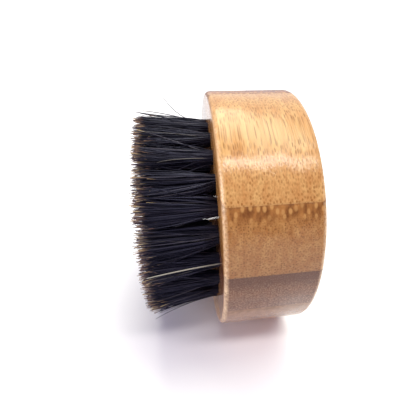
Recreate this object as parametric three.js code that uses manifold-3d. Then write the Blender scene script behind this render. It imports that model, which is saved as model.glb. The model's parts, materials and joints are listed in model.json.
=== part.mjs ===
// A round palm brush for a beard: tufts of black boar bristle set in a solid block of laminated bamboo.
//
// The brush lies on its rim, as it is laid down after use. X runs along the brush's own axis, from the
// bristle tips to the flat back. Y runs across it, and Z goes up from the surface that it lies on.
// The origin is on that surface, under the middle of the brush. Sizes are in millimetres.

import * as THREE from 'three';
import { mergeVertices } from 'three/addons/utils/BufferGeometryUtils.js';
import Module from 'manifold-3d';

const wasm = await Module();
wasm.setup();

// The block: a short round drum with softly broken edges. It holds a flat at its lowest point.
const blockDiameter = 55;
const blockThickness = 18.5;
const edgeRadius = 0.8;
const edgeSteps = 3;
const rimFlats = 96;

// The strips that the block is glued up from. They are stacked across the block, and the stack leans
// back from the front of the block by stackTurn. The two outer strips are what the turning left of them.
const stripCount = 7;
const stackTurn = THREE.MathUtils.degToRad(55);
const topStripDepth = 3.4;
const bottomStripDepth = 8.6;
const glueGap = 0.1;

// The tufts: rings of blind holes, evenly spaced from the middle out, with bristle folded into each.
const ringNames = ['inner', 'middle', 'outer'];
const tuftsPerRingStep = 8;
const rimMargin = 7.5;
const patternTurn = THREE.MathUtils.degToRad(26);
const bristleLength = 15.2;
const tuftRootDiameter = 2.9;
const tuftSides = 10;
const tuftSpacingAtTips = 0.3;

// The holes that the tufts sit in.
const holeDepth = 10;
const holeClearance = 0.1;
const holeBottomClearance = 0.4;
const cutOverrun = 1;

// Places that follow from the sizes above.
const blockRadius = blockDiameter / 2;
const overallLength = bristleLength + blockThickness;
const backX = overallLength / 2;
const faceX = backX - blockThickness;
const tipX = -overallLength / 2;
const axisHeight = blockRadius * Math.cos(Math.PI / rimFlats);
const outerRingRadius = blockRadius - rimMargin;
const tuftRootRadius = tuftRootDiameter / 2;
const holeRadius = tuftRootRadius + holeClearance;

const bamboo = new THREE.MeshStandardMaterial({ color: 0xc18f5c, roughness: 0.35, metalness: 0 });
const bambooDark = new THREE.MeshStandardMaterial({ color: 0xa8764a, roughness: 0.35, metalness: 0 });
const bristle = new THREE.MeshStandardMaterial({ color: 0x17161b, roughness: 0.55, metalness: 0 });

// A solid turned about the X axis. Each outline point is [x, radius], from the lowest x to the highest.
function turned(outline, sides, startTurn = 0) {
  const points = outline.map(([x, radius]) => new THREE.Vector2(radius, x));
  const geometry = new THREE.LatheGeometry(points, sides, startTurn);
  geometry.rotateZ(-Math.PI / 2);
  return geometry;
}

// The geometry as a closed solid that can be cut.
function toSolid(geometry) {
  const bare = geometry.clone();
  bare.deleteAttribute('normal');
  bare.deleteAttribute('uv');
  const merged = mergeVertices(bare);
  const corners = merged.index.array;
  const triangles = [];
  for (let i = 0; i < corners.length; i += 3) {
    const [a, b, c] = corners.slice(i, i + 3);
    if (a !== b && b !== c && c !== a) triangles.push(a, b, c);
  }
  const mesh = new wasm.Mesh({
    numProp: 3,
    vertProperties: new Float32Array(merged.attributes.position.array),
    triVerts: new Uint32Array(triangles),
  });
  return new wasm.Manifold(mesh);
}

function toGeometry(solid) {
  const mesh = solid.getMesh();
  const geometry = new THREE.BufferGeometry();
  geometry.setAttribute('position', new THREE.BufferAttribute(mesh.vertProperties, 3));
  geometry.setIndex(new THREE.BufferAttribute(mesh.triVerts, 1));
  geometry.computeVertexNormals();
  return geometry;
}

// The outline of a quarter-round edge about (x, radius), from one turn of the corner to the other.
function roundedEdge(x, radius, fromTurn, toTurn) {
  const points = [];
  for (let step = 0; step <= edgeSteps; step++) {
    const turn = THREE.MathUtils.lerp(fromTurn, toTurn, step / edgeSteps);
    points.push([x + edgeRadius * Math.cos(turn), radius + edgeRadius * Math.sin(turn)]);
  }
  return points;
}

// The whole drum, before it is parted into strips and drilled.
function drum() {
  const shoulder = blockRadius - edgeRadius;
  const outline = [
    [faceX, 0],
    ...roundedEdge(faceX + edgeRadius, shoulder, Math.PI, Math.PI / 2),
    ...roundedEdge(backX - edgeRadius, shoulder, Math.PI / 2, 0),
    [backX, 0],
  ];
  return toSolid(turned(outline, rimFlats, Math.PI / rimFlats));
}

// Where each tuft stands: its name and its place on the face, from the middle of the block out.
function tuftPlaces() {
  const places = [{ name: 'tuft_centre', y: 0, z: 0 }];
  ringNames.forEach((ringName, ring) => {
    const radius = outerRingRadius * (ring + 1) / ringNames.length;
    const count = tuftsPerRingStep * (ring + 1);
    for (let i = 0; i < count; i++) {
      const turn = patternTurn + 2 * Math.PI * i / count;
      const number = String(i + 1).padStart(2, '0');
      const name = `tuft_${ringName}_${number}`;
      places.push({ name, y: -radius * Math.cos(turn), z: radius * Math.sin(turn) });
    }
  });
  return places;
}

// The shortest distance between two tufts, which sets how far they can spread at the tips.
function closestPitch(places) {
  let closest = Infinity;
  places.forEach((a, i) => {
    for (const b of places.slice(i + 1)) closest = Math.min(closest, Math.hypot(a.y - b.y, a.z - b.z));
  });
  return closest;
}

// All the blind holes in the face as one cutter.
function holes(places) {
  const hole = toSolid(turned([
    [faceX - cutOverrun, 0],
    [faceX - cutOverrun, holeRadius],
    [faceX + holeDepth, holeRadius],
    [faceX + holeDepth, 0],
  ], tuftSides));
  return places.map(({ y, z }) => hole.translate(0, y, z)).reduce((all, one) => all.add(one));
}

// A slab across the stack of strips, between two distances from the block's axis.
function slab(low, high) {
  const reach = 2 * blockDiameter;
  const geometry = new THREE.BoxGeometry(reach, reach, high - low);
  geometry.translate(0, 0, (low + high) / 2);
  geometry.rotateX(Math.PI / 2 - stackTurn);
  return toSolid(geometry);
}

// The distances of the glue joints from the block's axis, from the top of the stack down.
function glueJoints() {
  const top = blockRadius - topStripDepth;
  const bottom = -blockRadius + bottomStripDepth;
  const joints = [];
  for (let i = 0; i < stripCount - 1; i++) {
    joints.push(THREE.MathUtils.lerp(top, bottom, i / (stripCount - 2)));
  }
  return joints;
}

function strips(places) {
  const drilled = drum().subtract(holes(places));
  const beyond = blockDiameter;
  const joints = [beyond, ...glueJoints(), -beyond];
  const meshes = [];
  for (let i = 0; i < stripCount; i++) {
    const strip = drilled.intersect(slab(joints[i + 1] + glueGap / 2, joints[i] - glueGap / 2));
    const mesh = new THREE.Mesh(toGeometry(strip), i % 2 ? bambooDark : bamboo);
    mesh.name = `bamboo_strip_${i + 1}`;
    meshes.push(mesh);
  }
  return meshes;
}

// One tuft: straight in its hole, then spreading evenly to its trimmed end.
function tuftGeometry(places) {
  const tipRadius = (closestPitch(places) - tuftSpacingAtTips) / 2;
  return turned([
    [tipX, 0],
    [tipX, tipRadius],
    [faceX, tuftRootRadius],
    [faceX + holeDepth - holeBottomClearance, tuftRootRadius],
    [faceX + holeDepth - holeBottomClearance, 0],
  ], tuftSides);
}

function tufts(places) {
  const geometry = tuftGeometry(places);
  return places.map(({ name, y, z }) => {
    const mesh = new THREE.Mesh(geometry, bristle);
    mesh.name = name;
    mesh.position.set(0, y, z);
    return mesh;
  });
}

const places = tuftPlaces();
const brush = new THREE.Group();
brush.add(...strips(places), ...tufts(places));
brush.position.set(0, 0, axisHeight);

export default brush;
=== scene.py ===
# %% [markdown]
# # A round beard brush in laminated bamboo and boar bristle
#
# The brush is a palm brush: a short drum of bamboo, with 49 tufts of black boar bristle in blind holes in
# one of its faces. It lies on its rim, as someone lays it down after use. This file dresses the packed
# frame of the brush: every size and place comes from that frame, in metres, and the looks are added here.

import json
import math

import bmesh
import bpy
import numpy as np
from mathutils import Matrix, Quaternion, Vector


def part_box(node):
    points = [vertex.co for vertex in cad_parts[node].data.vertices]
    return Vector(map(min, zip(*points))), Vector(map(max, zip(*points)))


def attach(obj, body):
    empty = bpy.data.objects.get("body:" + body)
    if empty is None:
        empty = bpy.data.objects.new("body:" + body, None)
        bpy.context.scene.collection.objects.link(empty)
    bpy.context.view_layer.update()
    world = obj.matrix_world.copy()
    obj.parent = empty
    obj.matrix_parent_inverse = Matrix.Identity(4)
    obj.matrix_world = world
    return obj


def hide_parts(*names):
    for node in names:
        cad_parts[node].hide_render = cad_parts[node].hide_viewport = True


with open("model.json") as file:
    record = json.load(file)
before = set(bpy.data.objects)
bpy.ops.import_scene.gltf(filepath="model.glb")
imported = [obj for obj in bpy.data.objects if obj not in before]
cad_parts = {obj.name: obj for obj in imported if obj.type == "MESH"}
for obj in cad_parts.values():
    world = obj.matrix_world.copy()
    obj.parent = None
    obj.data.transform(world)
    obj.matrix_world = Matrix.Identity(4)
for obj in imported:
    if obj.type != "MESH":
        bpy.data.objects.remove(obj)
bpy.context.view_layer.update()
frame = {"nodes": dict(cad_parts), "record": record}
MM = 0.001
BODY = "root"
print("nodes in the frame:", len(frame["nodes"]))

# %% [markdown]
# ## Measuring the frame
#
# The drum's axis runs along X. Its height and the flat back come from the mount on the back, the face from
# the strips, and the length of the bristle from the tuft in the middle. Nothing below repeats by hand a
# size that the frame gives.

# %% Places that the frame gives
strip_names = sorted(n for n in frame["nodes"] if n.startswith("bamboo_strip_"))
tuft_names = sorted(n for n in frame["nodes"] if n.startswith("tuft_"))
back_mount = next(m for m in frame["record"]["mounts"] if m["name"] == "back_face")
back_x, _, axis_z = back_mount["pos_m"]
face_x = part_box(strip_names[0])[0].x
block_radius = max(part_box(n)[1].y for n in strip_names)
tip_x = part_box("tuft_centre")[0].x
tuft_bottom_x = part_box("tuft_centre")[1].x
block_thickness = back_x - face_x
middle_x = (face_x + back_x) / 2
free_length = face_x - tip_x
print(f"drum {2 * block_radius / MM:.1f} mm across, {block_thickness / MM:.1f} mm thick")
print(f"bristle stands {free_length / MM:.1f} mm proud of the face")

# %% [markdown]
# ## The camera
#
# A brush this small is looked at from close by, so near things look larger than far ones, and the rim of
# the drum bows out towards the viewer. A wide lens held near the object gives that. The camera stands a
# little to the bristle side and looks down on the brush, and its view is shifted slightly to frame it.

# %% Camera
camera_azimuth = math.radians(-8.4)
camera_elevation = math.radians(27.2)
camera_distance = 78.7 * MM
camera_target = Vector((face_x + 4.77 * MM, 0, axis_z - 1.11 * MM))

toward_camera = Vector((
    math.sin(camera_azimuth) * math.cos(camera_elevation),
    -math.cos(camera_azimuth) * math.cos(camera_elevation),
    math.sin(camera_elevation),
))
camera_data = bpy.data.cameras.new("camera")
camera_data.sensor_width = 36
camera_data.lens = 26.36
camera_data.shift_x = -0.0433
camera_data.shift_y = 0.0015
camera_data.clip_start = 1 * MM
camera = bpy.data.objects.new("camera", camera_data)
bpy.context.scene.collection.objects.link(camera)
camera.location = camera_target + camera_distance * toward_camera
camera.rotation_euler = (-toward_camera).to_track_quat("-Z", "Y").to_euler()
bpy.context.scene.camera = camera
print("camera stands at", [round(c / MM, 1) for c in camera.location], "mm")

# %% [markdown]
# ## Small helpers
#
# Colours are written as the hex values that a painter's colour picker shows. Shaders work with linear
# light, so one function converts them. Another adds a node to a material with its settings and its links,
# so that each material below reads as a list of what it is made of. The operators work on what is
# selected, so two more helpers select, and settle a shape where it stands.

# %% Colour and node helpers
def linear(hex_colour):
    """An sRGB hex colour as linear RGBA."""
    parts = [int(hex_colour[i:i + 2], 16) / 255 for i in (1, 3, 5)]
    parts = [c / 12.92 if c <= 0.04045 else ((c + 0.055) / 1.055) ** 2.4 for c in parts]
    return (*parts, 1.0)


def add_node(tree, kind, settings=None, **inputs):
    """A node with its settings made, and each input set to a value or linked to another node's output."""
    node = tree.nodes.new(kind)
    for name, value in (settings or {}).items():
        setattr(node, name, value)
    for name, value in inputs.items():
        key = int(name[1:]) if name.startswith("_") else name
        socket = node.inputs[key]
        if isinstance(value, bpy.types.NodeSocket):
            tree.links.new(value, socket)
        else:
            socket.default_value = value
    return node


def new_material(name):
    """An empty material, its tree, and the shader that its nodes end in."""
    material = bpy.data.materials.new(name)
    material.use_nodes = True
    tree = material.node_tree
    return material, tree, tree.nodes["Principled BSDF"]


def set_shader(shader, **values):
    """Values on the shader's own sockets. An underscore stands for the space in a socket's name."""
    for name, value in values.items():
        shader.inputs[name.replace("_", " ")].default_value = value


def ramp(tree, factor, stops):
    """A colour ramp on factor. Each stop is (position, hex colour or grey value)."""
    node = add_node(tree, "ShaderNodeValToRGB", _0=factor)
    elements = node.color_ramp.elements
    while len(elements) < len(stops):
        elements.new(0.5)
    for element, (position, colour) in zip(elements, stops):
        element.position = position
        element.color = linear(colour) if isinstance(colour, str) else (colour, colour, colour, 1)
    return node.outputs["Color"]


def mix(tree, factor, a, b):
    """Two colours mixed by factor."""
    return add_node(tree, "ShaderNodeMix", {"data_type": "RGBA"}, _0=factor, _6=a, _7=b).outputs[2]


def calc(tree, operation, a, b=0.0, c=0.0, clamp=False):
    """One step of arithmetic on numbers."""
    settings = {"operation": operation, "use_clamp": clamp}
    return add_node(tree, "ShaderNodeMath", settings, _0=a, _1=b, _2=c).outputs[0]


print("a warm white in linear light:", [round(c, 3) for c in linear("#fff2e8")])


# %% Selection helpers
def select_only(*objects):
    """These objects selected, and the first of them active."""
    bpy.ops.object.select_all(action="DESELECT")
    for item in objects:
        item.select_set(True)
    bpy.context.view_layer.objects.active = objects[0]


def apply_place(item):
    """The object's place, turn and size moved into its mesh."""
    select_only(item)
    bpy.ops.object.transform_apply(location=True, rotation=True, scale=True)


# %% [markdown]
# ## Bamboo
#
# Laminated bamboo is strips of the culm's wall, planed flat and glued. Steam darkens it to caramel. Its
# fibres run in bundles along the culm, so where a strip is cut along them they show as long streaks, and
# where it is cut across them they show as dots. The bundles crowd together near the outer skin, which
# makes a darker, denser band on that side of each strip. A drum turned from such a block shows all of it:
# streaks where its rim runs along the fibres, dots where it cuts them, and the whole grain on its flat back.
#
# A solid texture gives all of this from one recipe. Stretched cells stand for the bundles, in coordinates
# that are turned with the stack of strips: across the culm, through its wall, and along the fibres. The
# same cells then show as dots or streaks by themselves, wherever the surface cuts them.

# %% The stack of strips
stack_turn = math.radians(55)
stack_direction = Vector((0, -math.cos(stack_turn), math.sin(stack_turn)))
axis_point = Vector((0, 0, axis_z))
strip_ranges = {}
for name in strip_names:
    along_stack = [stack_direction.dot(v.co - axis_point) for v in frame["nodes"][name].data.vertices]
    strip_ranges[name] = (min(along_stack), max(along_stack))
    print(f"{name}: {min(along_stack) / MM:.2f} to {max(along_stack) / MM:.2f} mm along the stack")

# %% [markdown]
# ### The grain's own space
#
# All patterns below are laid out in the grain's space. Real fibres are never ruler-straight, so a slow
# noise moves that space sideways by a few tenths of a millimetre before anything is drawn in it.

# %% Grain coordinates and cells
fibre_sway_size = 9 * MM
fibre_sway = (0.6 * MM, 0.4 * MM, 0)


def grain_space(tree):
    """Places measured from the drum's axis, in the turned stack, and in the stack with swaying fibres."""
    place = add_node(tree, "ShaderNodeTexCoord").outputs["Object"]
    centred = add_node(tree, "ShaderNodeMapping", Vector=place, Location=(0, 0, -axis_z)).outputs[0]
    turn = (stack_turn + math.pi, 0, 0)
    stacked = add_node(tree, "ShaderNodeMapping", Vector=centred, Rotation=turn).outputs[0]
    sway = add_node(tree, "ShaderNodeTexNoise", Vector=stacked, Scale=1 / fibre_sway_size, Detail=2.0)
    even_sway = add_node(tree, "ShaderNodeVectorMath", {"operation": "SUBTRACT"},
                         _0=sway.outputs["Color"], _1=(0.5, 0.5, 0.5))
    grain = add_node(tree, "ShaderNodeVectorMath", {"operation": "MULTIPLY_ADD"},
                     _0=even_sway.outputs[0], _1=fibre_sway, _2=stacked)
    return centred, stacked, grain.outputs[0]


def stretched(tree, grain, across, through, length, shift=0.0):
    """Coordinates in which a grain feature of this size is one unit in each direction."""
    scale = (1 / across, 1 / through, 1 / length)
    place = (shift, shift, shift)
    return add_node(tree, "ShaderNodeMapping", Vector=grain, Scale=scale, Location=place).outputs[0]


def soft_noise(tree, grain, size, detail=2.0):
    """Noise whose features have this size in mm across, through and along the grain."""
    where = stretched(tree, grain, *(s * MM for s in size))
    return add_node(tree, "ShaderNodeTexNoise", Vector=where, Scale=1.0, Detail=detail).outputs["Fac"]


def cells(tree, grain, across, through, randomness, shift):
    """Cells that never close along the fibres: the distance from a cell's middle, and its own number."""
    where = stretched(tree, grain, across, through, 1.0, shift)
    settings = {"feature": "F1", "voronoi_dimensions": "2D"}
    found = add_node(tree, "ShaderNodeTexVoronoi", settings, Vector=where, Scale=1.0, Randomness=randomness)
    own = add_node(tree, "ShaderNodeSeparateColor", _0=found.outputs["Color"]).outputs[0]
    return found.outputs["Distance"], own


# %% [markdown]
# ### Bundles and ground
#
# Bundles are small and crowded near the skin, larger and further apart toward the inner wall. They are
# flatter through the wall than across it, and some are darker than others. The ground between them has
# broad bands of tone, from how the culm grew and was steamed, and fine streaks along the fibres.

# %% Bundles and ground
bundle_pitch_skin = 0.42 * MM
bundle_pitch_inner = 0.55 * MM
bundle_flatness = 0.62
bundle_disorder = 0.85
streak_size = (0.22, 0.22, 16)
band_size = (1.1, 1.1, 50)


def bundle_dots(tree, grain, pitch, shift):
    """White where the surface cuts a bundle. It is grey where the bundle is a paler one."""
    distance, own = cells(tree, grain, pitch, pitch * bundle_flatness, bundle_disorder, shift)
    inside = ramp(tree, distance, [(0.2, 1.0), (0.42, 0.0)])
    strength = ramp(tree, own, [(0.0, 0.25), (1.0, 1.0)])
    return calc(tree, "MULTIPLY", inside, strength)


def ground_colour(tree, bands, streaks, depth, tone):
    """The wood between the bundles. It darkens toward the inner wall by the share that tone gives: painted
    shade on the lower side of each strip.
    """
    ground, pale, fibre = (linear(tone[k]) for k in ("ground", "pale", "fibre"))
    colour = mix(tree, ramp(tree, bands, [(0.32, 0.0), (0.68, 1.0)]), ground, pale)
    colour = mix(tree, ramp(tree, streaks, [(0.45, 0.0), (0.75, 0.35)]), colour, fibre)
    # Painted shade: the colour is darkened toward the inner wall, the lower side of each strip.
    return mix(tree, calc(tree, "MULTIPLY", depth, tone["inner_painted_shade"]), colour, fibre)


# %% [markdown]
# ### The skin side
#
# Close to the culm's skin the crowded bundles run together into a dark band, with pale drops of pith left
# between them. The band ends softly: the streaks fray its border.

# %% The dense skin side of a strip
drop_pitch_across, drop_pitch_through = 1.15 * MM, 1.0 * MM
drop_disorder = 0.7
drop_shift = 1.7


def add_skin_side(tree, colour, grain, bands, streaks, dots, depth, strip_height, tone):
    """The colour with the strip's dark skin band laid over it, and the pale drops in that band."""
    ground, pale, fibre, skin = (linear(tone[k]) for k in ("ground", "pale", "fibre", "skin"))
    end = tone["skin_depth"] * MM / strip_height
    frayed = calc(tree, "MULTIPLY_ADD", streaks, end, calc(tree, "SUBTRACT", depth, end / 2))
    in_skin = ramp(tree, frayed, [(end * 0.55, 1.0), (end * 1.3, 0.0)])
    skin = mix(tree, ramp(tree, bands, [(0.35, 0.0), (0.65, 1.0)]), skin, ground)
    skin = mix(tree, calc(tree, "MULTIPLY", dots, 0.3 * tone["dots"]), skin, fibre)
    colour = mix(tree, in_skin, colour, skin)

    distance, own = cells(tree, grain, drop_pitch_across, drop_pitch_through, drop_disorder, drop_shift)
    drops = calc(tree, "MULTIPLY", ramp(tree, distance, [(0.18, 1.0), (0.36, 0.0)]),
                 ramp(tree, own, [(0.05, 0.2), (0.5, 1.0)]))
    drops = calc(tree, "MULTIPLY", calc(tree, "MULTIPLY", drops, in_skin), tone["drops"])
    return mix(tree, drops, colour, pale)


# %% [markdown]
# ### Worn, highlighted edges and glue
#
# The broken edges of the drum look paler, in specks: partly wear, since they cut across the fibres and hold
# less lacquer, and partly a painted highlight along the round edges.
# They are found by their place: near the rim and near an end at the same time. A hairline of glue darkens
# the wood at each joint. The outermost strips have a joint on one side only.

# %% Worn edges with a painted highlight, and glue lines
edge_break = 1.0 * MM
speck_size = 0.5 * MM
glue_shadow = 0.08 * MM
glue_strength = 0.12


def add_worn_edges_and_highlight(tree, colour, centred):
    """The colour with the pale specks of the drum's two round edges: partly wear, partly a painted highlight.
    """
    from_axis = add_node(tree, "ShaderNodeVectorMath", {"operation": "MULTIPLY"}, _0=centred, _1=(0, 1, 1))
    radius = add_node(tree, "ShaderNodeVectorMath", {"operation": "LENGTH"}, _0=from_axis.outputs[0])
    past_rim = calc(tree, "SUBTRACT", radius.outputs["Value"], block_radius - edge_break)
    near_rim = calc(tree, "DIVIDE", past_rim, edge_break, clamp=True)
    along_axis = add_node(tree, "ShaderNodeSeparateXYZ", _0=centred).outputs["X"]
    off_middle = calc(tree, "ABSOLUTE", calc(tree, "SUBTRACT", along_axis, middle_x))
    past_end = calc(tree, "SUBTRACT", off_middle, block_thickness / 2 - edge_break)
    near_end = calc(tree, "DIVIDE", past_end, edge_break, clamp=True)
    on_edge = calc(tree, "MULTIPLY", calc(tree, "MULTIPLY", near_rim, near_end), 2.0, clamp=True)
    specks = add_node(tree, "ShaderNodeTexNoise", Vector=centred, Scale=1 / speck_size, Detail=2.0)
    worn_and_highlight = calc(tree, "MULTIPLY", on_edge, ramp(tree, specks.outputs["Fac"], [(0.3, 0.1), (0.7, 0.8)]))
    # Painted highlight and wear together: the round edges are mixed toward a pale cream.
    return mix(tree, worn_and_highlight, colour, linear("#ecc79e"))


def add_glue(tree, colour, strip, through_wall):
    """The colour with a dark hairline at each joint of this strip."""
    low, high = strip_ranges[strip]
    joints = []
    if strip != strip_names[0]:
        joints.append(calc(tree, "LESS_THAN", calc(tree, "SUBTRACT", high, through_wall), glue_shadow))
    if strip != strip_names[-1]:
        joints.append(calc(tree, "LESS_THAN", calc(tree, "SUBTRACT", through_wall, low), glue_shadow))
    glue = calc(tree, "MULTIPLY", calc(tree, "MAXIMUM", joints[0], joints[-1]), glue_strength)
    return mix(tree, glue, colour, linear("#5a3a22"))


# %% [markdown]
# ### Lacquer
#
# Sanded wood hardly shines by itself. The clear satin lacquer over it does. It is thin, so it still follows
# the grain a little, and long shallow swells in it break up the edges of what it reflects.

# %% Lacquer over the wood
lacquer_relief = 0.034 * MM
swell_size = (5, 5, 16)
swell_share = 9.0
dot_share = 0.2


def add_lacquer(tree, shader, grain, streaks, dots):
    """The shine of the coat and its relief, from swells, streaks and slightly sunken bundles."""
    set_shader(shader, Roughness=0.5, Specular_IOR_Level=0.1, Coat_Weight=1.0, Coat_Roughness=0.17,
               Coat_IOR=1.46)
    swell = soft_noise(tree, grain, swell_size, detail=1.0)
    fine = calc(tree, "SUBTRACT", streaks, calc(tree, "MULTIPLY", dots, dot_share))
    height = calc(tree, "MULTIPLY_ADD", swell, swell_share, fine)
    bump = add_node(tree, "ShaderNodeBump", Height=height, Strength=1.0, Distance=lacquer_relief)
    tree.links.new(bump.outputs[0], shader.inputs["Normal"])
    tree.links.new(bump.outputs[0], shader.inputs["Coat Normal"])


# %% [markdown]
# ### One strip's bamboo, and a tone for each
#
# Each strip is from another culm, so each has its own tone. The colours run from pale straw to a brown that
# is nearly chocolate. skin_depth is in mm. dots, drops and inner_painted_shade are strengths from 0 to 1.
# inner_painted_shade is painted shade that darkens each strip toward its inner wall.

# %% The bamboo materials
def bamboo(name, strip, tone):
    """Lacquered caramel bamboo for one strip."""
    low, high = strip_ranges[strip]
    material, tree, shader = new_material(name)
    centred, stacked, grain = grain_space(tree)
    through_wall = add_node(tree, "ShaderNodeSeparateXYZ", _0=stacked).outputs["Y"]
    # Depth below the skin side of the strip, from 0 at the skin to 1 at the inner wall.
    depth = calc(tree, "DIVIDE", calc(tree, "SUBTRACT", high, through_wall), high - low, clamp=True)
    # The shifts give each strip bundles of its own.
    near_skin = bundle_dots(tree, grain, bundle_pitch_skin, 3.0 * high / MM)
    inner = bundle_dots(tree, grain, bundle_pitch_inner, 5.0 * high / MM)
    dots = mix(tree, depth, near_skin, inner)
    bands = soft_noise(tree, grain, band_size)
    streaks = soft_noise(tree, grain, streak_size)
    colour = ground_colour(tree, bands, streaks, depth, tone)
    colour = mix(tree, calc(tree, "MULTIPLY", dots, tone["dots"]), colour, linear(tone["fibre"]))
    if tone["skin_depth"]:
        colour = add_skin_side(tree, colour, grain, bands, streaks, dots, depth, high - low, tone)
    colour = add_worn_edges_and_highlight(tree, colour, centred)
    colour = add_glue(tree, colour, strip, through_wall)
    tree.links.new(colour, shader.inputs["Base Color"])
    add_lacquer(tree, shader, grain, streaks, dots)
    return material


# inner_painted_shade is painted shade, not a tone that the wood has.
strip_tones = {
    "bamboo_strip_1": dict(ground="#cb9157", pale="#dcab6e", fibre="#88521f", skin="#b9824a",
                           skin_depth=0, drops=0.0, dots=0.85, inner_painted_shade=0.2),
    "bamboo_strip_2": dict(ground="#a86f39", pale="#bf8b51", fibre="#683b18", skin="#734218",
                           skin_depth=1.5, drops=0.9, dots=0.9, inner_painted_shade=0.4),
    "bamboo_strip_3": dict(ground="#5a301b", pale="#6a3d24", fibre="#a98062", skin="#552c18",
                           skin_depth=2.4, drops=0.0, dots=0.75, inner_painted_shade=0.0),
    "bamboo_strip_4": dict(ground="#8d6240", pale="#a17551", fibre="#6a4225", skin="#7a5029",
                           skin_depth=1.6, drops=0.4, dots=0.7, inner_painted_shade=0.2),
    "bamboo_strip_5": dict(ground="#b8834d", pale="#c99a62", fibre="#805026", skin="#8f5f32",
                           skin_depth=2.0, drops=0.6, dots=0.7, inner_painted_shade=0.2),
    "bamboo_strip_6": dict(ground="#c58f59", pale="#d6a870", fibre="#8b592c", skin="#a3713f",
                           skin_depth=1.4, drops=0.3, dots=0.7, inner_painted_shade=0.2),
    "bamboo_strip_7": dict(ground="#b57f49", pale="#c6955c", fibre="#7c4d25", skin="#8e5d30",
                           skin_depth=1.8, drops=0.5, dots=0.7, inner_painted_shade=0.2),
}
bamboo_materials = {}
for name in strip_names:
    material_name = name.replace("bamboo_strip", "lacquered_bamboo")
    bamboo_materials[name] = bamboo(material_name, name, strip_tones[name])
print("bamboo materials:", len(bamboo_materials))

# %% [markdown]
# ## The block
#
# The real block is glued up first, then turned round, drilled and lacquered. It is made here in the same
# order: one cylinder with its edges broken by a bevel, then the holes drilled out of it, and last the
# drum parted along its glue joints. Parting it last keeps the rim one true circle across all the strips.

# %% Turn the drum
rim_segments = 288
edge_steps = 5
same_x = 1e-6

bpy.ops.object.select_all(action="DESELECT")
bpy.ops.mesh.primitive_cylinder_add(
    vertices=rim_segments, radius=block_radius, depth=block_thickness, end_fill_type="NGON",
    location=(middle_x, 0, axis_z), rotation=(0, math.pi / 2, 0))
drum = bpy.context.active_object
drum.name = "drum"
apply_place(drum)
bpy.ops.object.mode_set(mode="EDIT")
bpy.ops.mesh.select_all(action="DESELECT")
drum_mesh = bmesh.from_edit_mesh(drum.data)
for edge in drum_mesh.edges:
    a, b = (v.co.x for v in edge.verts)
    edge.select = abs(a - b) < same_x
bmesh.update_edit_mesh(drum.data)
bpy.ops.mesh.bevel(offset=edge_break, segments=edge_steps, profile=0.5)
bpy.ops.object.mode_set(mode="OBJECT")
print("drum faces:", len(drum.data.polygons))

# %% [markdown]
# ### Drilling it
#
# One drill is modelled. Its shank end flares a little, so it also breaks the edge of the hole's mouth.
# A copy stands at each tuft, the copies are joined, and one boolean cuts all the holes at once.

# %% Drill the holes
def tuft_place(name):
    """Where a tuft's hole is on the face."""
    low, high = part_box(name)
    return (low.y + high.y) / 2, (low.z + high.z) / 2


hole_radius = 1.52 * MM
hole_depth = 10 * MM
hole_sides = 32
mouth_break = 0.18 * MM
overrun = 1 * MM

bpy.ops.object.select_all(action="DESELECT")
bpy.ops.mesh.primitive_cylinder_add(
    vertices=hole_sides, radius=hole_radius, depth=hole_depth + mouth_break,
    location=(face_x + (hole_depth + mouth_break) / 2, 0, 0), rotation=(0, math.pi / 2, 0))
drill = bpy.context.active_object
apply_place(drill)
bpy.ops.object.mode_set(mode="EDIT")
bpy.ops.mesh.select_all(action="DESELECT")
drill_mesh = bmesh.from_edit_mesh(drill.data)
for face in drill_mesh.faces:
    face.select = face.normal.x < -0.9
bmesh.update_edit_mesh(drill.data)
# The drill's shank end is moved in to the mouth's depth, then flared out to break the mouth's edge.
bpy.ops.transform.translate(value=(mouth_break, 0, 0))
bpy.ops.mesh.extrude_region_move(TRANSFORM_OT_translate={"value": (-mouth_break, 0, 0)})
bpy.ops.transform.resize(value=(1, 1 + mouth_break / hole_radius, 1 + mouth_break / hole_radius),
                         center_override=(face_x, 0, 0))
bpy.ops.mesh.extrude_region_move(TRANSFORM_OT_translate={"value": (-overrun, 0, 0)})
bpy.ops.object.mode_set(mode="OBJECT")

drills = []
for name in tuft_names:
    copy = drill.copy()
    copy.data = drill.data.copy()
    bpy.context.scene.collection.objects.link(copy)
    copy.location = (0, *tuft_place(name))
    drills.append(copy)
select_only(*drills)
bpy.ops.object.join()
all_drills = bpy.context.active_object
apply_place(all_drills)

drilling = drum.modifiers.new("holes", "BOOLEAN")
drilling.operation = "DIFFERENCE"
drilling.solver = "EXACT"
drilling.object = all_drills
select_only(drum)
bpy.ops.object.modifier_apply(modifier="holes")
for spent in (drill, all_drills):
    bpy.data.objects.remove(spent)
print("drum faces once drilled:", len(drum.data.polygons))

# %% [markdown]
# ### Parting it into strips
#
# Each strip is a copy of the whole drum, cut by the planes of its two glue joints. Bisect cuts, throws one
# side away and closes the cut with a flat face. The glue line is thinner than a hair, so the strips keep
# only a hairline between them.

# %% Part the strips
glue_line = 0.01 * MM
# The frame's strips stop this far short of the middle of each joint.
frame_gap = 0.05 * MM
smooth_angle = math.radians(35)


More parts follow.
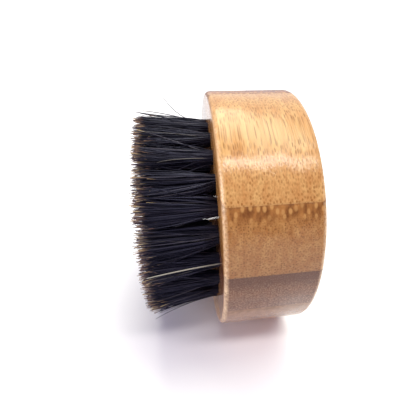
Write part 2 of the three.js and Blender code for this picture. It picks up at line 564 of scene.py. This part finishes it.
def part_strip(name):
    """One strip cut from a copy of the drum."""
    low, high = strip_ranges[name]
    strip = drum.copy()
    strip.data = drum.data.copy()
    strip.name = name + "_wood"
    bpy.context.scene.collection.objects.link(strip)
    select_only(strip)
    bpy.ops.object.mode_set(mode="EDIT")
    cuts = []
    if name != strip_names[0]:
        cuts.append((high + frame_gap - glue_line / 2, stack_direction))
    if name != strip_names[-1]:
        cuts.append((low - frame_gap + glue_line / 2, -stack_direction))
    for distance, outward in cuts:
        bpy.ops.mesh.select_all(action="SELECT")
        bpy.ops.mesh.bisect(plane_co=axis_point + distance * stack_direction, plane_no=outward,
                            use_fill=True, clear_outer=True, threshold=1e-7)
    bpy.ops.object.mode_set(mode="OBJECT")
    bpy.ops.object.shade_smooth_by_angle(angle=smooth_angle)
    strip.data.materials.clear()
    strip.data.materials.append(bamboo_materials[name])
    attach(strip, BODY)
    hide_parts(name)
    return strip


for name in strip_names:
    strip = part_strip(name)
    print(f"{strip.name}: {len(strip.data.polygons)} faces")
bpy.data.objects.remove(drum)

# %% [markdown]
# ## Boar bristle
#
# Boar bristle is stiff, tapers from root to tip, and each bristle splits at its end into two or three fine
# flags. Dyed black, it stays brown and straw-coloured at the split tips. A tuft is a bundle of bristle
# folded in half into its hole, so it leaves the face as a tight round bunch and spreads as it goes.
#
# One bristle is modelled: a thin cylinder, cut into rings, and tapered. Each tuft then holds a few hundred
# bent copies of it. The rings of a copy are laid along a curve of its own, which starts in the hole,
# leans out with the bundle and wanders a little. An attribute on the mesh says how far along its bristle
# each point is, and gives the bristle a number of its own. The material reads both for its colour.

# %% The bristle material
# The dye takes badly at the split tips, so brown shows there. Both values are shares of the free length.
tip_fade = 0.11
latest_tip_start = 0.965

bristle_material, tree, shader = new_material("dyed_boar_bristle")
told = add_node(tree, "ShaderNodeAttribute", {"attribute_name": "bristle"})
parts = add_node(tree, "ShaderNodeSeparateColor", _0=told.outputs["Color"])
along, own, pallor = parts.outputs[0], parts.outputs[1], parts.outputs[2]
# The last few bristles on this ramp are lighter: partly uneven dye, partly a painted sheen.
body_colour = ramp(tree, own, [(0.0, "#060609"), (0.6, "#121118"), (0.88, "#2b2930"), (1.0, "#4c474a")])
tip_colour = ramp(tree, own, [(0.0, "#2a1a17"), (0.35, "#553a30"), (0.6, "#7c5a45"),
                              (0.85, "#a08058"), (1.0, "#cdb684")])
tip_start = calc(tree, "MULTIPLY_ADD", own, -tip_fade, latest_tip_start)
past_tip = calc(tree, "DIVIDE", calc(tree, "SUBTRACT", along, tip_start), tip_fade, clamp=True)
coloured = mix(tree, past_tip, body_colour, tip_colour)
coloured = mix(tree, pallor, coloured, linear("#b9b3a4"))
tree.links.new(coloured, shader.inputs["Base Color"])
set_shader(shader, Roughness=0.45, Specular_IOR_Level=0.5, Specular_Tint=linear("#c2bffb"))
print("bristle material:", bristle_material.name)

# %% Model one bristle
bristle_sides = 4
free_rings = 7
bristle_radius = 0.09 * MM

bpy.ops.object.select_all(action="DESELECT")
bpy.ops.mesh.primitive_cylinder_add(vertices=bristle_sides, radius=1, depth=1, location=(0, 0, 0.5))
bristle = bpy.context.active_object
apply_place(bristle)
bpy.ops.object.mode_set(mode="EDIT")
for ring in range(1, free_rings + 1):
    # The first ring is at the face. The rest share the free length.
    height = ring / (free_rings + 1)
    bpy.ops.mesh.select_all(action="SELECT")
    bpy.ops.mesh.bisect(plane_co=(0, 0, height), plane_no=(0, 0, 1))
bpy.ops.object.mode_set(mode="OBJECT")

template_points = np.array([v.co for v in bristle.data.vertices])
template_faces = [tuple(p.vertices) for p in bristle.data.polygons]
template_ring = np.rint(template_points[:, 2] * (free_rings + 1)).astype(int)
template_offset = template_points[:, :2]
# The width at each ring, as a share of the width at the root.
ring_taper = np.array([1.0, 1.0, 1.0, 0.97, 0.93, 0.88, 0.8, 0.68, 0.55])
bpy.data.objects.remove(bristle)
print("one bristle has", len(template_faces), "faces and", len(template_points), "points")

# %% Bend copies into a tuft
ring_count = free_rings + 2


def lay_bristles(paths, thickness, own_numbers, pallors):
    """Points, faces and the told attribute of bristles laid along paths. paths is (bristles, rings, 3)."""
    count = len(paths)
    tangent = np.gradient(paths, axis=1)
    tangent /= np.linalg.norm(tangent, axis=2, keepdims=True)
    side = np.cross(tangent, (0.0, 0.0, 1.0))
    side /= np.linalg.norm(side, axis=2, keepdims=True)
    across = np.cross(tangent, side)
    rings = template_ring
    radius = bristle_radius * thickness[:, None] * ring_taper[rings][None, :]
    points = (paths[:, rings]
              + side[:, rings] * (template_offset[None, :, :1] * radius[:, :, None])
              + across[:, rings] * (template_offset[None, :, 1:] * radius[:, :, None]))
    faces = [tuple(i + b * len(rings) for i in face) for b in range(count) for face in template_faces]
    told = np.ones((count, len(rings), 4))
    told[:, :, 0] = shares[rings][None, :]
    told[:, :, 1] = own_numbers[:, None]
    told[:, :, 2] = pallors[:, None]
    return points.reshape(-1, 3), faces, told.reshape(-1, 4)


# How far along its free length each ring is. The ring inside the hole counts as 0.
shares = np.zeros(ring_count)
shares[1:] = np.linspace(0, 1, ring_count - 1)
root_clearance = 1.2 * MM
rooting_depth = tuft_bottom_x - face_x - root_clearance
print(f"each bristle starts {rooting_depth / MM:.1f} mm down its hole")

# %% [markdown]
# The bristles of a tuft stand packed in its round hole. Sunflower spacing fills a circle evenly, and each
# bristle leans out in proportion to how far from the middle of the bunch it stands. A few lean much
# further, or cross over, because no bundle is combed quite straight.

# %% The tufts
bristles_per_tuft = 250
root_radius = 1.4 * MM
tip_radius = 2.75 * MM
golden_angle = math.pi * (3 - math.sqrt(5))
combing = 0.5 * MM
crossing_share, crossing_spread = 0.16, 2.1 * MM
locks_per_tuft, lock_lean = 5, 0.75 * MM
edge_above, edge_below = 22.2 * MM, 23.2 * MM
edge_draw = 0.62
length_offset, length_spread, longest = -0.015, 0.026, 1.03
short_share, short_range = 0.15, (0.8, 0.97)
bristle_sway = 0.3 * MM
ease_range = (0.9, 1.4)
lean_shortening = 0.5


def held_in(tips, y, z):
    """The tips of a tuft at (y, z), with those outside the clipped edge of the whole brush drawn in."""
    off_axis = tips + (y, z - axis_z)
    reach = np.linalg.norm(off_axis, axis=1)
    low_share = 0.5 - 0.5 * off_axis[:, 1] / np.maximum(reach, 1e-9)
    edge = edge_above + (edge_below - edge_above) * low_share
    past = np.maximum(reach - edge, 0)
    drawn = reach - past * edge_draw
    return off_axis * (drawn / np.maximum(reach, 1e-9))[:, None] - (y, z - axis_z)


def tuft_paths(rng, y, z, lean_of_tuft, eagerness):
    """Curves for the bristles of one tuft whose hole is at (y, z)."""
    index = np.arange(bristles_per_tuft)
    turn = index * golden_angle + rng.uniform(0, 2 * math.pi)
    share = np.sqrt((index + 0.5) / bristles_per_tuft)
    root = np.stack([np.cos(turn), np.sin(turn)], -1) * (share * root_radius)[:, None]
    tip = root / root_radius * tip_radius + lean_of_tuft
    tip += rng.normal(0, combing, root.shape)
    crossing = rng.random(bristles_per_tuft) < crossing_share * eagerness ** 2
    tip[crossing] += rng.normal(0, crossing_spread, (crossing.sum(), 2))
    # Neighbouring bristles cling together in locks, and each lock leans its own way.
    lock = (turn % (2 * math.pi) / (2 * math.pi) * locks_per_tuft).astype(int)
    tip += rng.normal(0, lock_lean, (locks_per_tuft, 2))[lock]
    tip = held_in(tip, y, z)
    length = free_length * (1 + rng.normal(length_offset, length_spread, bristles_per_tuft))
    short = rng.random(bristles_per_tuft) < short_share
    length[short] *= rng.uniform(*short_range, short.sum())
    length = np.minimum(length, free_length * longest)
    sway = rng.normal(0, bristle_sway, root.shape)
    ease = rng.uniform(*ease_range, bristles_per_tuft) * eagerness
    t = shares[None, :]
    across = root[:, None, :] + (tip - root)[:, None, :] * (t ** ease[:, None])[:, :, None]
    across += sway[:, None, :] * (np.sin(math.pi * t) * t)[:, :, None]
    # A bristle that leans reaches less far out.
    leaning = np.linalg.norm(tip - root, axis=1)
    shortening = 1 - lean_shortening * (leaning / free_length) ** 2
    x = face_x - (length * shortening)[:, None] * t
    x[:, 0] = face_x + rooting_depth
    return np.stack([x, y + across[:, :, 0], z + across[:, :, 1]], -1)


def make_tuft(name, paths, thickness, own_numbers, pallors):
    """One tuft as an object, from the curves of its bristles."""
    points, faces, told = lay_bristles(paths, thickness, own_numbers, pallors)
    mesh = bpy.data.meshes.new(name)
    mesh.from_pydata(points.tolist(), [], faces)
    attribute = mesh.attributes.new("bristle", "FLOAT_COLOR", "POINT")
    attribute.data.foreach_set("color", told.astype(np.float32).ravel())
    mesh.materials.append(bristle_material)
    mesh.shade_smooth()
    tuft = bpy.data.objects.new(name, mesh)
    bpy.context.scene.collection.objects.link(tuft)
    return tuft


# A few bundles lean as a whole, given here as (toward the rear of the rim, up) in mm at the tips. They start
# to lean as soon as they leave the wood.
leaning_tufts = {
    "tuft_outer_01": (0.0, 1.0),
    "tuft_middle_01": (0.0, 1.3),
    "tuft_inner_01": (0.0, 1.1),
    "tuft_centre": (0.0, 0.6),
    "tuft_outer_02": (-0.4, -0.8),
    "tuft_inner_02": (0.0, -1.1),
    "tuft_inner_04": (0.0, -1.2),
    "tuft_middle_08": (0.0, -1.1),
    "tuft_outer_12": (0.0, -1.0),
    "tuft_outer_24": (0.0, -0.4),
    "tuft_middle_16": (0.0, -0.6),
    "tuft_inner_08": (0.0, -1.2),
    "tuft_inner_06": (0.0, -1.7),
    "tuft_middle_10": (0.0, -1.8),
    "tuft_outer_14": (0.0, -1.9),
}

# %% [markdown]
# Some bristles go their own way: fine hairs that curl out of the block of bristle, and a few that never
# took the dye and stay the colour of straw. Each is laid like the others and belongs to the tuft it grows in.

# %% Stray and undyed bristles
# Each: tuft, root place in its hole, point halfway and tip (x from the face, y, z from the hole), thickness,
# pallor. All in mm but the last two.
strays = [
    ("tuft_outer_05", (0.4, 1.1), (-5.0, 0.6, 2.6), (-8.9, 0.4, 6.6), 0.9, 0.0),
    ("tuft_outer_05", (-0.3, 1.0), (-7.5, -0.4, 1.9), (-14.8, -1.2, 2.3), 0.55, 0.0),
    ("tuft_outer_05", (0.2, 1.2), (-8.5, 0.2, 2.4), (-15.2, 1.0, 1.9), 0.55, 0.0),
    ("tuft_outer_04", (-0.8, 0.6), (-8.0, -1.2, 1.9), (-17.3, -1.8, 2.8), 0.6, 0.25),
    ("tuft_outer_20", (-0.6, -1.1), (-7.5, -2.2, -1.6), (-14.2, -3.8, -3.4), 1.1, 0.0),
    ("tuft_outer_20", (-0.2, -1.2), (-8.0, -1.9, -1.2), (-13.2, -3.2, -2.2), 1.1, 0.0),
    ("tuft_outer_20", (-0.9, -0.9), (-6.5, -1.8, -1.5), (-13.6, -2.8, -2.9), 0.9, 0.0),
    ("tuft_outer_23", (-1.3, -0.1), (-7.0, -3.0, 0.4), (-13.6, -4.0, 0.1), 1.8, 0.8),
    ("tuft_outer_03", (-1.1, 0.2), (-6.5, -1.9, 0.6), (-10.5, -2.1, 0.2), 0.9, 0.3),
    ("tuft_outer_04", (-1.1, -0.5), (-7.0, -1.9, -1.0), (-13.8, -2.2, 0.6), 1.0, 0.1),
    ("tuft_outer_24", (-1.2, 0.2), (-6.5, -2.0, 0.6), (-14.3, -2.4, 1.8), 0.9, 0.2),
    ("tuft_outer_05", (0.5, 1.2), (-7.0, 0.8, 2.2), (-13.8, 2.0, 2.6), 0.5, 0.0),
    ("tuft_outer_06", (0.1, 1.2), (-8.0, -0.2, 1.6), (-14.9, -1.0, 1.6), 0.6, 0.0),
    ("tuft_outer_02", (-0.5, -1.2), (-5.0, -1.2, -2.9), (-13.8, -1.4, -3.4), 1.6, 0.0),
    ("tuft_outer_02", (-0.1, -1.3), (-4.2, -0.5, -2.9), (-13.6, -0.9, -4.4), 1.6, 0.0),
    ("tuft_outer_02", (-0.9, -1.0), (-4.6, -1.6, -2.5), (-13.9, -1.8, -4.0), 1.6, 0.0),
    ("tuft_outer_02", (0.2, -1.3), (-4.0, 0.2, -3.1), (-13.5, 0.0, -4.9), 1.6, 0.0),
    ("tuft_outer_01", (-0.4, 1.3), (-4.3, -0.8, 2.3), (-13.9, -1.2, 3.8), 1.6, 0.0),
    ("tuft_outer_01", (0.1, 1.35), (-3.8, 0.0, 2.5), (-13.8, -0.4, 4.6), 1.6, 0.0),
    ("tuft_outer_01", (0.5, 1.25), (-3.6, 0.6, 2.4), (-13.8, 0.6, 4.2), 1.6, 0.0),
    ("tuft_outer_01", (-0.9, 1.0), (-5.0, -1.5, 1.9), (-14.0, -1.8, 3.0), 1.6, 0.0),
    ("tuft_outer_02", (-0.3, -1.3), (-2.6, -0.6, -3.1), (-13.2, -1.0, -3.6), 2.2, 0.0),
    ("tuft_outer_02", (0.1, -1.35), (-2.3, 0.3, -2.9), (-13.4, 0.2, -4.0), 2.2, 0.0),
    ("tuft_outer_02", (0.5, -1.25), (-2.8, 0.9, -3.2), (-13.0, 1.0, -3.2), 2.2, 0.0),
    ("tuft_outer_01", (-0.2, 1.35), (-2.4, -0.4, 2.6), (-13.6, -0.8, 3.4), 2.2, 0.0),
    ("tuft_outer_01", (0.3, 1.3), (-2.1, 0.4, 2.4), (-13.6, 0.5, 3.0), 2.2, 0.0),
    ("tuft_outer_01", (0.7, 1.1), (-2.9, 1.0, 2.8), (-13.4, 1.3, 3.8), 2.2, 0.0),
    ("tuft_outer_24", (-0.5, 1.3), (-1.6, -0.7, 2.4), (-13.6, -1.0, 2.4), 1.8, 0.0),
    ("tuft_outer_24", (-0.1, 1.35), (-1.4, 0.0, 2.3), (-13.5, -0.2, 1.9), 1.8, 0.0),
]


def stray_paths(name):
    """Curves, thicknesses and pallors of the strays of one tuft."""
    y, z = tuft_place(name)
    paths, thickness, pallor = [], [], []
    for tuft, root, middle, tip, thick, pale in strays:
        if tuft != name:
            continue
        start, bend, end = (np.array(p) * MM for p in ((0, *root), middle, tip))
        control = 2 * bend - (start + end) / 2
        t = shares[:, None]
        path = (1 - t) ** 2 * start + 2 * t * (1 - t) * control + t ** 2 * end
        path[0] = (rooting_depth, *start[1:])
        paths.append(path + (face_x, y, z))
        thickness.append(thick)
        pallor.append(pale)
    return paths, thickness, pallor


# %% Make the tufts
first_seed = 1000
tuft_drift = 0.25
lean_eagerness = 0.6
thickness_range = (0.75, 1.25)
pale_share, pale_range = 0.002, (0.2, 0.5)
stray_number = 0.25

for number, name in enumerate(tuft_names):
    rng = np.random.default_rng(first_seed + number)
    y, z = tuft_place(name)
    drift = rng.normal(0, tuft_drift, 2)
    lean = np.array(leaning_tufts.get(name, drift)) * MM
    paths = tuft_paths(rng, y, z, lean, lean_eagerness if name in leaning_tufts else 1.0)
    thickness = rng.uniform(*thickness_range, bristles_per_tuft)
    own_numbers = rng.random(bristles_per_tuft)
    is_pale = rng.random(bristles_per_tuft) < pale_share
    pallors = np.where(is_pale, rng.uniform(*pale_range, bristles_per_tuft), 0)
    extra_paths, extra_thickness, extra_pallors = stray_paths(name)
    if extra_paths:
        paths = np.concatenate([paths, extra_paths])
        thickness = np.append(thickness, extra_thickness)
        own_numbers = np.append(own_numbers, [stray_number] * len(extra_paths))
        pallors = np.append(pallors, extra_pallors)
    tuft = make_tuft(name.replace("tuft", "bristle_tuft"), paths, thickness, own_numbers, pallors)
    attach(tuft, BODY)
    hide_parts(name)
print(len(tuft_names), "tufts of", bristles_per_tuft, "bristles")

# %% [markdown]
# ## The anchors
#
# No glue holds the bristle. Each tuft is folded over a scrap of flat wire, and a machine drives wire and
# bristle into the hole together. The wire is longer than the hole is wide, so both its ends bite into the
# bamboo. It can't be seen in the finished brush. A repairer who pulls a tuft finds it, so it's made here.

# %% Model one anchor and copy it
# Drawn and rolled flat, the wire is bright but never polished.
anchor_wire, tree, shader = new_material("drawn_steel_wire")
set_shader(shader, Base_Color=linear("#b4b6b8"), Metallic=1.0, Roughness=0.35)
anchor_length = 3.3 * MM
anchor_height = 1.5 * MM
anchor_thickness = 0.3 * MM
anchor_edge = 0.08 * MM
bottom_clearance = 0.1 * MM
anchor_centre = face_x + hole_depth - bottom_clearance - anchor_height / 2

bpy.ops.object.select_all(action="DESELECT")
bpy.ops.mesh.primitive_cube_add(size=1, location=(0, 0, 0))
anchor = bpy.context.active_object
anchor.scale = (anchor_height, anchor_length, anchor_thickness)
apply_place(anchor)
bpy.ops.object.mode_set(mode="EDIT")
bpy.ops.mesh.select_all(action="SELECT")
bpy.ops.mesh.bevel(offset=anchor_edge, segments=2, profile=0.5)
bpy.ops.object.mode_set(mode="OBJECT")
anchor.data.materials.append(anchor_wire)
for name in tuft_names:
    copy = anchor.copy()
    copy.data = anchor.data.copy()
    copy.name = name.replace("tuft", "anchor")
    bpy.context.scene.collection.objects.link(copy)
    y, z = tuft_place(name)
    copy.location = (anchor_centre, y, z)
    # Each anchor lies along its ring, so that no wood is pinched between two of them.
    copy.rotation_euler = (math.atan2(z - axis_z, y) + math.pi / 2 if name != "tuft_centre" else 0, 0, 0)
    apply_place(copy)
    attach(copy, BODY)
bpy.data.objects.remove(anchor)
print("anchors:", len(tuft_names))

# %% [markdown]
# ## Light and floor
#
# The brush lies on a plain white surface. Its lacquer shows a sharp bright band high on the rim and a
# broader, softer glow above that. A long softbox high in front gives the band, and a wide panel overhead
# gives the glow. Two weak panels behind keep the top of the rim bright, and one at the side lights the face
# and the bristle. A pale surround fills the shadows, and is brighter where it is seen directly.

# %% The floor
# Painted board scatters all its light, so it shows soft shadows and no reflections.
floor_material, tree, shader = new_material("matt_white_board")
set_shader(shader, Base_Color=linear("#f6f4ff"), Roughness=0.8)
floor_radius = 0.9
floor_drop = 0.02 * MM
bpy.ops.object.select_all(action="DESELECT")
bpy.ops.mesh.primitive_circle_add(vertices=96, radius=floor_radius, fill_type="NGON",
                                  location=(0, 0, -floor_drop))
floor = bpy.context.active_object
floor.name = "floor"
floor.data.materials.append(floor_material)

# %% The lamps
lamp_distance = 3.0


def softbox(name, toward, width, length, power, colour, tilt=0.0):
    """A soft panel that faces the brush from this direction. Its length lies level unless it's tilted."""
    toward = Vector(toward).normalized()
    data = bpy.data.lights.new(name, "AREA")
    data.shape = "RECTANGLE"
    data.size, data.size_y = length, width
    data.energy = power
    data.color = linear(colour)[:3]
    lamp = bpy.data.objects.new(name, data)
    bpy.context.scene.collection.objects.link(lamp)
    lamp.location = axis_point + lamp_distance * toward
    level = toward.to_track_quat("Z", "Y")
    lamp.rotation_euler = (level @ Quaternion((0, 0, 1), math.radians(tilt))).to_euler()


def over(degrees, sideways):
    """A direction this far round from the front, up and over the top."""
    turn = math.radians(degrees)
    return (sideways, -math.cos(turn), math.sin(turn))


softbox("front_softbox", over(65, 0.2), 0.42, 2.4, 48, "#fffaf0", tilt=-26)
softbox("overhead_panel", over(99, 0.2), 1.35, 3.2, 90, "#f4f9dc")
softbox("rear_panel", over(136, 0.3), 2.2, 3.0, 22, "#f6f8ea")
softbox("far_panel", over(164, 0.3), 0.9, 3.0, 6, "#fff2e8")
softbox("side_fill", (-1, -0.15, 0.3), 1.6, 2.4, 64, "#fffdfa")

print("lamps:", len(bpy.data.lights))

room_strength = 0.27
extra_when_seen = 2.0
world = bpy.data.worlds.new("pale_room")
bpy.context.scene.world = world
world.use_nodes = True
tree = world.node_tree
room = tree.nodes["Background"]
seen = add_node(tree, "ShaderNodeLightPath").outputs["Is Camera Ray"]
strength = calc(tree, "MULTIPLY_ADD", seen, extra_when_seen, room_strength)
tree.links.new(strength, room.inputs["Strength"])
room.inputs["Color"].default_value = linear("#d6ceff")
bpy.context.scene.view_settings.view_transform = "Standard"
